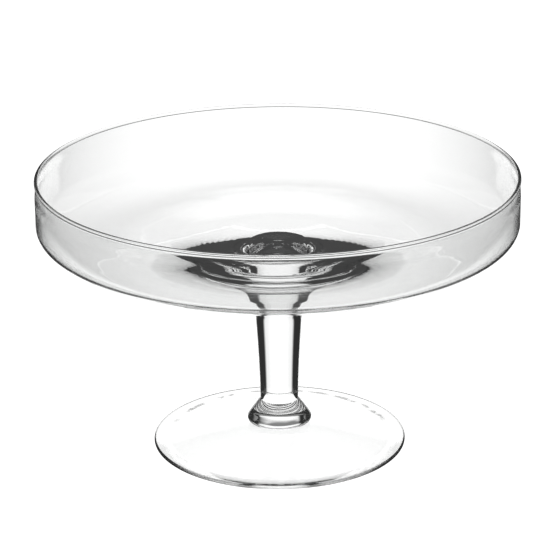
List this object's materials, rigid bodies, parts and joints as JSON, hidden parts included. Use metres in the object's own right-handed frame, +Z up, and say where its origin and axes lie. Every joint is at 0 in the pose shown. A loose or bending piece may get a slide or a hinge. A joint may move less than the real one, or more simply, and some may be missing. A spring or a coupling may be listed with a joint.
{
  "type": "footed glass dish",
  "caption": "Shallow round clear glass bowl with an upright wall, on a solid stem with a collar and a disc foot.",
  "frame": {"origin": "centre of the plane that the foot stands on", "axes": "+Z up, along the stem and through the middle of the bowl; X and Y are alike, as the dish is round"},
  "size_m": [0.3, 0.3, 0.178],
  "materials": {
    "clear_glass": "fire-polished clear soda glass"
  },
  "bodies": {
    "root": {"bowl": "clear_glass", "bowl_button": "clear_glass", "stem": "clear_glass", "foot_collar": "clear_glass", "foot": "clear_glass"}
  },
  "joints": []
}
